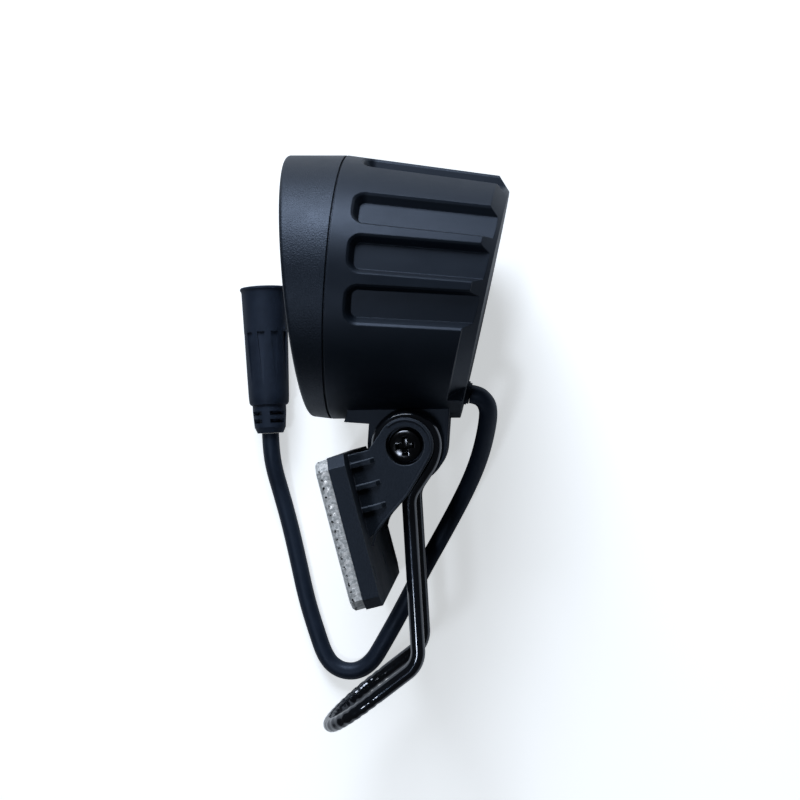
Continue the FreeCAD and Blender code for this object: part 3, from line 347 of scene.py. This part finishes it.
FINISHES = {
    "housing_plastic": moulded_plastic(
        "housing_plastic", dark=(0.0016, 0.0036, 0.0072), light=(0.0026, 0.0052, 0.0098),
        grain=3600.0, depth=0.000012, rough=(0.42, 0.50), wear_and_highlight=0.55),
    "bezel_plastic": moulded_plastic(
        "bezel_plastic", dark=(0.0018, 0.0040, 0.0078), light=(0.0030, 0.0058, 0.0105),
        grain=2800.0, depth=0.00007, rough=(0.42, 0.50), edge=0.00025, wear_and_highlight=0.30),
    # The holder's edges and ribs are painted strongly paler: part wear, part painted highlight where they
    # catch the light.
    "holder_plastic": moulded_plastic(
        "holder_plastic", dark=(0.0012, 0.0026, 0.0048), light=(0.0022, 0.0042, 0.0072),
        grain=2600.0, depth=0.00009, rough=(0.46, 0.56), edge=0.00034, wear_and_highlight=1.0,
        worn_lit_tone=(0.080, 0.095, 0.115)),
    "bush_plastic": moulded_plastic(
        "bush_plastic", dark=(0.002, 0.003, 0.005), light=(0.003, 0.004, 0.006),
        grain=3000.0, depth=0.00001, rough=(0.25, 0.35)),
    "insert_plastic": moulded_plastic(
        "insert_plastic", dark=(0.002, 0.003, 0.005), light=(0.003, 0.004, 0.006),
        grain=3000.0, depth=0.00001, rough=(0.4, 0.5)),
    "black_rubber": rubber("black_rubber", (0.0065, 0.0110, 0.0215), 0.60),
    "cable_jacket": rubber("cable_jacket", (0.0055, 0.0100, 0.0200), 0.52),
    "seal_red": rubber("seal_red", (0.30, 0.03, 0.025), 0.5),
    "coated_wire": coated_wire(),
    "clear_lens": clear_plastic("clear_lens", (0.95, 0.97, 0.98), 0.03),
    "reflector_clear": prism_plastic(
        "reflector_clear", pale=(0.76, 0.79, 0.82), shade=(0.36, 0.39, 0.41),
        dark=(0.02, 0.022, 0.026), cover=(0.80, 0.82, 0.84)),
    "mirror_coat": plain_metal("mirror_coat", (0.90, 0.91, 0.93), 0.06),
    "aluminium": plain_metal("aluminium", (0.72, 0.72, 0.73), 0.35),
    "can_aluminium": plain_metal("can_aluminium", (0.66, 0.67, 0.69), 0.3),
    "steel": plain_metal("steel", (0.55, 0.55, 0.56), 0.3),
    "brass_pins": plain_metal("brass_pins", (0.83, 0.62, 0.25), 0.2),
    "black_steel": plain_metal("black_steel", (0.045, 0.048, 0.055), 0.17),
    "board_white": flat_finish("board_white", (0.8, 0.8, 0.77), 0.4),
    "board_green": flat_finish("board_green", (0.02, 0.16, 0.06), 0.35),
    "emitter_yellow": flat_finish("emitter_yellow", (0.85, 0.66, 0.10), 0.3),
    "ferrite": flat_finish("ferrite", (0.05, 0.05, 0.055), 0.6),
    "copper_leads": flat_finish("copper_leads", (0.35, 0.03, 0.02), 0.4),
}

BODY_OF = {node: body for body, held in frame["record"]["behaviour"]["bodies"].items() for node in held}
SLOT_OF = {part["node"]: part["material_slot"] for part in frame["record"]["subparts"]}


def coat(piece, finish):
    """Give a piece one finish all over."""
    piece.data.materials.clear()
    piece.data.materials.append(FINISHES[finish])


for node, piece in frame["nodes"].items():
    coat(piece, SLOT_OF[node])


# Shaping. Sizes are in millimetres where a comment doesn't say otherwise.

# Points closer than this are merged. In metres.
DOUBLED = 0.00001
RING_STEPS = 72
# The radius at which a turned piece starts and ends, small enough for its points to merge.
POLE = 0.002
# In degrees. Edges that turn further are rounded, and what still turns further then is shaded sharp.
CUT_EDGE = 35
ROUND_STEPS = 2


def solo(piece):
    """Leave one piece selected and active."""
    bpy.ops.object.select_all(action="DESELECT")
    piece.select_set(True)
    bpy.context.view_layer.objects.active = piece


def smooth(piece, degrees):
    """Shade a finished piece smooth, with its real edges kept."""
    solo(piece)
    bpy.ops.object.shade_smooth_by_angle(angle=math.radians(degrees))


def as_mesh(piece):
    """Turn a curve into a mesh."""
    solo(piece)
    bpy.ops.object.convert(target="MESH")
    return bpy.context.object


def close_seams():
    """Merge doubled points of the piece in edit mode, point its faces outwards and leave edit mode."""
    bpy.ops.mesh.select_all(action="SELECT")
    bpy.ops.mesh.remove_doubles(threshold=DOUBLED)
    bpy.ops.mesh.normals_make_consistent(inside=False)
    bpy.ops.object.mode_set(mode="OBJECT")


def round_bar(name, kind, spots, radius, rounding):
    """A round bar on a line of the given kind, with closed ends. Its spots and radius are in metres."""
    curve = bpy.data.curves.new(name, "CURVE")
    curve.dimensions = "3D"
    line = curve.splines.new(kind)
    line.points.add(len(spots) - 1)
    for point, spot in zip(line.points, spots):
        point.co = (*spot, 1.0)
    if kind == "NURBS":
        line.order_u = 3
        line.use_endpoint_u = True
    curve.bevel_depth = radius
    curve.bevel_resolution = rounding
    curve.use_fill_caps = True
    bar = bpy.data.objects.new(name, curve)
    bpy.context.collection.objects.link(bar)
    return bar


def turned_piece(name, rings, place):
    """A round piece: a circle drawn out ring by ring, by (along, radius), round X of its place."""
    bpy.ops.object.select_all(action="DESELECT")
    along, radius = rings[0]
    bpy.ops.mesh.primitive_circle_add(vertices=RING_STEPS, radius=radius * MM, location=(0, 0, 0))
    piece = bpy.context.object
    piece.name = name
    piece.data.transform(Matrix.Translation((0, 0, along * MM)))
    bpy.ops.object.mode_set(mode="EDIT")
    bpy.ops.mesh.select_all(action="SELECT")
    for next_along, next_radius in rings[1:]:
        bpy.ops.mesh.extrude_region_move(TRANSFORM_OT_translate={"value": (0, 0, (next_along - along) * MM)})
        ratio = next_radius / radius
        bpy.ops.transform.resize(value=(ratio, ratio, 1), center_override=(0, 0, next_along * MM))
        along, radius = next_along, next_radius
    close_seams()
    piece.data.transform(place @ turned(90, "Y"))
    return piece


def cutting_block(sections):
    """A block to cut with, between two sections: (along, low, half width there, high, half width there)."""
    bpy.ops.object.select_all(action="DESELECT")
    bpy.ops.mesh.primitive_cube_add(size=1)
    block = bpy.context.object
    first, last = sections
    for vertex in block.data.vertices:
        along, low, low_half, high, high_half = last if vertex.co.x > 0 else first
        height, half = (high, high_half) if vertex.co.z > 0 else (low, low_half)
        vertex.co = (along, math.copysign(half, vertex.co.y), height)
    return block


def cut_away(piece, cutters):
    """Take each cutter's shape out of a piece."""
    for cutter in cutters:
        cut = piece.modifiers.new("cut", "BOOLEAN")
        cut.operation = "DIFFERENCE"
        cut.solver = "EXACT"
        cut.object = cutter
        solo(piece)
        bpy.ops.object.modifier_apply(modifier=cut.name)
        bpy.data.objects.remove(cutter)


def soften(piece, width):
    """Break the cut edges of a piece with a small round."""
    edge = piece.modifiers.new("edge", "BEVEL")
    edge.width = width * MM
    edge.segments = ROUND_STEPS
    edge.limit_method = "ANGLE"
    edge.angle_limit = math.radians(CUT_EDGE)
    solo(piece)
    bpy.ops.object.modifier_apply(modifier=edge.name)
    smooth(piece, CUT_EDGE)


# The plug's body: the rubber is drawn in towards the lead, under a thin flared lip, with wedge grips.

# Its outline, as the distance from the mouth and the radius there.
PLUG_BORE = [(12, POLE), (12, 4.2), (3.5, 4.2), (3.5, 4.6), (0.2, 4.6), (0, 4.8)]
PLUG_LIP = [(0, 6.05), (0.2, 6.25), (0.55, 6.28), (0.9, 6.05)]
# The side's radius at the mouth, and what it loses with each millimetre towards the lead.
SIDE_RADIUS, SIDE_TAPER = 5.97, 0.0275
PLUG_SIDE = [(along, SIDE_RADIUS - SIDE_TAPER * along) for along in (1.3, 4, 7, 10, 13, 16, 19, 22, 25, 28)]
PLUG_END = [(29.6, 5.08), (30.15, 4.8), (30.4, 4.3), (30.4, POLE)]
GRIPS = 10
# Each grip is widest and deepest near the mouth and runs out to a point.
GRIP_WEDGE = ((11.6, 5.15, 0.95, 7.0, 1.07), (25.0, 5.26, 0.04, 7.0, 0.16))


def make_plug_shell():
    """The plug's rubber body, open at its mouth."""
    shell = turned_piece("plug_shell", PLUG_BORE + PLUG_LIP + PLUG_SIDE + PLUG_END, PLUG_FRAME)
    wedges = []
    for turn in range(0, 360, 360 // GRIPS):
        wedge = cutting_block(GRIP_WEDGE)
        wedge.data.transform(PLUG_FRAME @ turned(turn, "X") @ Matrix.Scale(MM, 4))
        wedges.append(wedge)
    cut_away(shell, wedges)
    soften(shell, width=0.07)
    coat(shell, "black_rubber")
    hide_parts("plug_body")
    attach(shell, BODY_OF["plug_body"])
    return shell


# The lead: the points that guide its line, in millimetres. They are those of the part's own route, and
# near the gland they were moved by up to about 1 mm, to follow the photograph.

GLAND_MOUTH = (16.9, 11.6, 28.2)
RELIEF_END = (-36.7, 2.1, 6.3)
ROUTE = [
    GLAND_MOUTH,
    (18.5, 11.3, 28.0),
    (19.7, 10.5, 27.5),
    (20.6, 9.2, 26.5),
    (20.9, 7.4, 25.0),
    (20.3, 3.9, 21.8),
    (18.6, -1.8, 15.8),
    (16.2, -7.6, 10.2),
    (12.6, -14.6, 5.6),
    (7.8, -23.2, 2.8),
    (2.0, -33.5, 2.25),
    (-3.5, -44.1, 2.25),
    (-7.7, -51.6, 2.25),
    (-10.7, -56.7, 2.25),
    (-14.7, -59.3, 2.25),
    (-19.3, -59.0, 2.25),
    (-22.8, -56.0, 2.25),
    (-25.2, -49.4, 2.25),
    (-28.0, -40.6, 2.25),
    (-30.1, -31.2, 2.25),
    (-32.4, -21.6, 2.25),
    (-34.6, -13.2, 3.1),
    (-35.9, -7.4, 5.1),
    (-36.5, -2.2, 6.3),
    RELIEF_END,
]
LEAD_DIAMETER = 4.4 * MM
# Steps of the line for each of its points.
LEAD_STEPS = 10


def make_lead(plug_shell):
    """Round black lead on one smooth line from the gland to the plug."""
    spots = [tuple(value * MM for value in place) for place in ROUTE]
    lead = round_bar("lead", "NURBS", spots, LEAD_DIAMETER / 2, rounding=7)
    lead.data.splines[0].resolution_u = LEAD_STEPS
    coat(lead, "cable_jacket")
    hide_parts("power_cable")
    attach(lead, "lamp")


# The bent wire, with the notches that are rolled into its fork. It is drawn in the lamp's frame, with
# each leg in its own side plane, and the fork joins the two. Angles are in degrees.

WIRE_RADIUS = 1.65
LEG_PLANE = 13.0
# The radii of its line: the eye, the neck below it, the knee, and the bend from the leg to the fork.
EYE_RADIUS, NECK_RADIUS, KNEE_RADIUS, BEND_RADIUS = 6.35, 10.0, 6.0, 6.0
# From straight down, the neck turns forwards, the leg leans backwards and the fork slopes forwards.
NECK_TURN, LEG_LEAN, FORK_SLOPE = 30.0, 7.3, 48.3
NECK_STRAIGHT = 5.4
# Where leg and fork would meet if there were no bend, as X and Y, and the fork's length from there.
FORK_CORNER = (25.61, -84.40)
FORK_LENGTH = 27.2
EYE_STEPS, NECK_STEPS, KNEE_STEPS, LEG_STEPS, BEND_STEPS, FORK_STEPS = 40, 8, 10, 8, 12, 37
NOTCH_PITCH = 0.55
# The wire's thickness along one notch, as a share of the whole.
NOTCH = (1.0, 1.0, 0.96, 0.92)
# The notches start this many points before the fork's round end.
NOTCHES_AHEAD = 5


def turn_points(centre, radius, start, end, count, height):
    """Points of an arc in a plane square to Z, angles in degrees."""
    angles = [math.radians(start + (end - start) * step / count) for step in range(count + 1)]
    return [Vector((centre[0] + radius * math.cos(angle), centre[1] + radius * math.sin(angle), height))
            for angle in angles]


def downwards(lean):
    """The direction down, leaning backwards by an angle."""
    angle = math.radians(lean)
    return Vector((math.sin(angle), -math.cos(angle), 0))


def backwards(rise):
    """The direction backwards, rising by an angle."""
    angle = math.radians(rise)
    return Vector((math.cos(angle), math.sin(angle), 0))


def make_wire():
    """One bent wire: an eye each side, two legs, and a fork with notches rolled across it."""
    half = turn_points(PIVOT, EYE_RADIUS, 270, 0, EYE_STEPS, LEG_PLANE)
    neck = (PIVOT.x + EYE_RADIUS - NECK_RADIUS, PIVOT.y)
    half += turn_points(neck, NECK_RADIUS, 0, -NECK_TURN, NECK_STEPS, LEG_PLANE)[1:]
    knee = half[-1] + downwards(-NECK_TURN) * NECK_STRAIGHT + backwards(-NECK_TURN) * KNEE_RADIUS
    half += turn_points(knee, KNEE_RADIUS, 180 - NECK_TURN, 180 + LEG_LEAN, KNEE_STEPS, LEG_PLANE)
    corner = Vector((*FORK_CORNER, LEG_PLANE))
    leg, fork = downwards(LEG_LEAN), downwards(-FORK_SLOPE)
    cut_back = BEND_RADIUS * math.tan(math.radians((FORK_SLOPE + LEG_LEAN) / 2))
    top = corner - leg * cut_back
    half += [half[-1].lerp(top, step / LEG_STEPS) for step in range(1, LEG_STEPS)]
    hub = top - backwards(LEG_LEAN) * BEND_RADIUS
    half += turn_points(hub, BEND_RADIUS, LEG_LEAN, -FORK_SLOPE, BEND_STEPS, LEG_PLANE)
    low = half[-1]
    straight = corner + fork * (FORK_LENGTH - LEG_PLANE)
    notches = int((straight - low).length / NOTCH_PITCH)
    half += [low + fork * (NOTCH_PITCH * step) for step in range(1, notches)]
    plain = len(half) - NOTCHES_AHEAD
    for step in range(FORK_STEPS + 1):
        angle = math.pi / 2 * step / FORK_STEPS
        inwards = Vector((0, 0, LEG_PLANE * (1 - math.cos(angle))))
        half.append(straight + fork * (LEG_PLANE * math.sin(angle)) - inwards)
    sizes = [1.0] * plain + [NOTCH[index % len(NOTCH)] for index in range(len(half) - plain)]
    sizes += sizes[-2::-1]
    spots = half + [Vector((spot.x, spot.y, -spot.z)) for spot in reversed(half[:-1])]
    places = [LAMP @ (spot * MM) for spot in spots]
    wire = round_bar("bracket_wire", "POLY", places, WIRE_RADIUS * MM, rounding=6)
    for point, size in zip(wire.data.splines[0].points, sizes):
        point.radius = size
    wire = as_mesh(wire)
    bpy.ops.object.mode_set(mode="EDIT")
    close_seams()
    smooth(wire, degrees=40)
    coat(wire, "coated_wire")
    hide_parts("wire_bracket")
    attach(wire, BODY_OF["wire_bracket"])


# Rounded beads that edge the arms' outer faces, from the ear down to the plate's back, in the
# reflector's frame.

BEAD_RADIUS = 0.32
ARM_FACE = 19.0
# The ear's edge: its radius round the pivot, and the angles between which it is followed.
EAR_EDGE = 5.75
EAR_FROM, EAR_TO, EAR_STEPS = 118, -45, 18
# The arm's rear edge below the ear, as X and Y.
ARM_EDGE = ((14.9, -11.6), (13.6, -12.75), (9.9, -15.2), (6.6, -17.5), (4.9, -19.2), (4.0, -21.4))


def make_arm_beads():
    """A bead on each arm."""
    ear = PLATE.inverted() @ LAMP @ (PIVOT * MM) / MM
    for side, name in ((1, "near"), (-1, "far")):
        face = ARM_FACE * side
        spots = turn_points(ear, EAR_EDGE, EAR_FROM, EAR_TO, EAR_STEPS, face)
        spots += [Vector((*spot, face)) for spot in ARM_EDGE]
        places = [PLATE @ (spot * MM) for spot in spots]
        bead = as_mesh(round_bar(name + "_arm_bead", "NURBS", places, BEAD_RADIUS * MM, rounding=2))
        smooth(bead, degrees=50)
        coat(bead, "holder_plastic")
        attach(bead, BODY_OF["reflector_holder"])


# The pivot screw, with a low dome, a cross recess and a plain shank.

SCREW_TOP = 19.0
# The distance along the pivot, from the lamp's middle, and the radius there.
SCREW_OUTLINE = [(-19.5, POLE), (-19.5, 1.7), (-19.2, 2.0), (16.6, 2.0), (16.6, 3.7), (18.1, 3.7),
                 (18.42, 3.58), (18.65, 3.25), (18.85, 2.5), (18.96, 1.4), (SCREW_TOP, POLE)]
# The two slots of the cross, which narrow inwards.
CROSS_TURNS = (8, 98)
CROSS_SLOT = ((-1.6, -0.475, 1.45, 0.475, 1.45), (1.6, -0.675, 2.65, 0.675, 2.65))


def make_screw():
    """The screw through the ears, the eyes and the bush."""
    screw = turned_piece("cross_screw", SCREW_OUTLINE, PIVOT_FRAME)
    slots = []
    for turn in CROSS_TURNS:
        slot = cutting_block(CROSS_SLOT)
        slot.data.transform(turned(turn, "X"))
        slot.data.transform(PIVOT_FRAME @ shifted(SCREW_TOP, 0, 0) @ Matrix.Scale(MM, 4))
        slots.append(slot)
    cut_away(screw, slots)
    soften(screw, width=0.09)
    coat(screw, "black_steel")
    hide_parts("pivot_screw")
    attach(screw, BODY_OF["pivot_screw"])


make_lead(make_plug_shell())
make_wire()
make_arm_beads()
make_screw()


# Stage: pale floor, soft light and the photograph's camera.

# The floor's width in metres, and its glow where the camera sees it.
FLOOR_SIZE, FLOOR_LIFT = 6, 0.58
# The background's strength as a light, and what is added where the camera sees it.
SKY_LIGHT, SKY_SEEN = 0.04, 0.96
LIGHT_TONE = (0.88, 0.93, 1.0)
# Each light's name, its place and the length of its side in metres, and its power in watts.
LIGHTS = (("window", (-0.14, 0.85, 0.56), 0.50, 11.6), ("ceiling", (-0.15, -0.26, 0.95), 0.12, 1.3))
# The camera's film width and lens in millimetres, and the nearest that it sees in metres.
FILM_WIDTH, LENS, NEAREST = 36, 56.7, 0.01
# The camera's place in millimetres and its turn in degrees.
CAMERA_PLACE = (42.4, 4.5, 323.3)
CAMERA_TURN = (1.105, 8.144, 0.076)


def lift_for_camera(tree, lift, rest=0.0):
    """A strength that is higher where the camera looks straight at the surface."""
    seen = tree.nodes.new("ShaderNodeLightPath")
    return maths(tree, "MULTIPLY_ADD", seen.outputs["Is Camera Ray"], lift, rest)


def make_floor():
    """A wide pale floor, brighter where the camera looks straight at it."""
    bpy.ops.object.select_all(action="DESELECT")
    bpy.ops.mesh.primitive_plane_add(size=FLOOR_SIZE, location=(0, 0, 0))
    floor = bpy.context.object
    floor.name = "floor"
    material, tree, shader = new_material("pale_floor")
    shader.inputs["Base Color"].default_value = (0.80, 0.83, 0.86, 1)
    shader.inputs["Roughness"].default_value = 0.9
    shader.inputs["Emission Color"].default_value = (0.95, 0.98, 1.0, 1)
    tree.links.new(lift_for_camera(tree, FLOOR_LIFT), shader.inputs["Emission Strength"])
    floor.data.materials.append(material)


def make_lights():
    """A pale background, a large window and a small ceiling light."""
    world = bpy.data.worlds.new("studio")
    bpy.context.scene.world = world
    world.use_nodes = True
    tree = world.node_tree
    sky = tree.nodes["Background"]
    sky.inputs["Color"].default_value = (0.90, 0.95, 1.0, 1)
    tree.links.new(lift_for_camera(tree, SKY_SEEN, SKY_LIGHT), sky.inputs["Strength"])
    for name, place, size, power in LIGHTS:
        light = bpy.data.lights.new(name, "AREA")
        light.size = size
        light.energy = power
        light.color = LIGHT_TONE
        stand = bpy.data.objects.new(name, light)
        stand.location = place
        stand.rotation_euler = (-Vector(place)).to_track_quat("-Z", "Y").to_euler()
        bpy.context.collection.objects.link(stand)


def make_camera():
    """The photograph's camera."""
    data = bpy.data.cameras.new("camera")
    data.sensor_width = FILM_WIDTH
    data.lens = LENS
    data.clip_start = NEAREST
    camera = bpy.data.objects.new("camera", data)
    camera.location = tuple(value * MM for value in CAMERA_PLACE)
    camera.rotation_euler = Euler([math.radians(angle) for angle in CAMERA_TURN])
    bpy.context.collection.objects.link(camera)
    bpy.context.scene.camera = camera


make_floor()
make_lights()
make_camera()
bpy.context.scene.view_settings.view_transform = "Standard"

bpy.context.view_layer.update()
